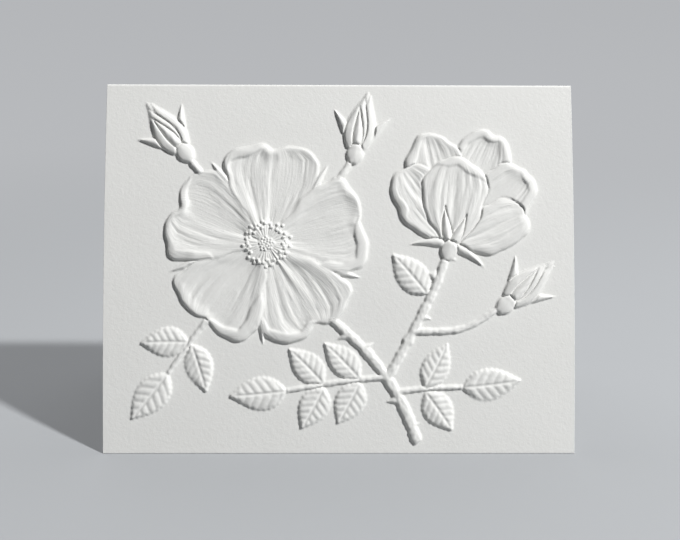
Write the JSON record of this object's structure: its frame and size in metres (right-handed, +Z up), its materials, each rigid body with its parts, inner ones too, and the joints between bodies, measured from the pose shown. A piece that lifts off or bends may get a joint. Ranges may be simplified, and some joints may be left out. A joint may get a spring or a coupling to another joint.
{
  "type": "greeting card",
  "caption": "Landscape greeting card folded along its top edge and stood like a tent, with a raised wild rose spray pressed into the bowed front panel.",
  "frame": {"origin": "centre of the footprint, on the surface that the card stands on", "axes": "+X along the card's width and its fold, +Y from the embossed front panel to the plain back panel, +Z up"},
  "size_m": [0.14, 0.0764, 0.1038],
  "materials": {
    "card_paper": "uncoated off-white cotton paper with a fine felt tooth"
  },
  "bodies": {
    "root": {"folded_card": "card_paper"}
  },
  "joints": []
}
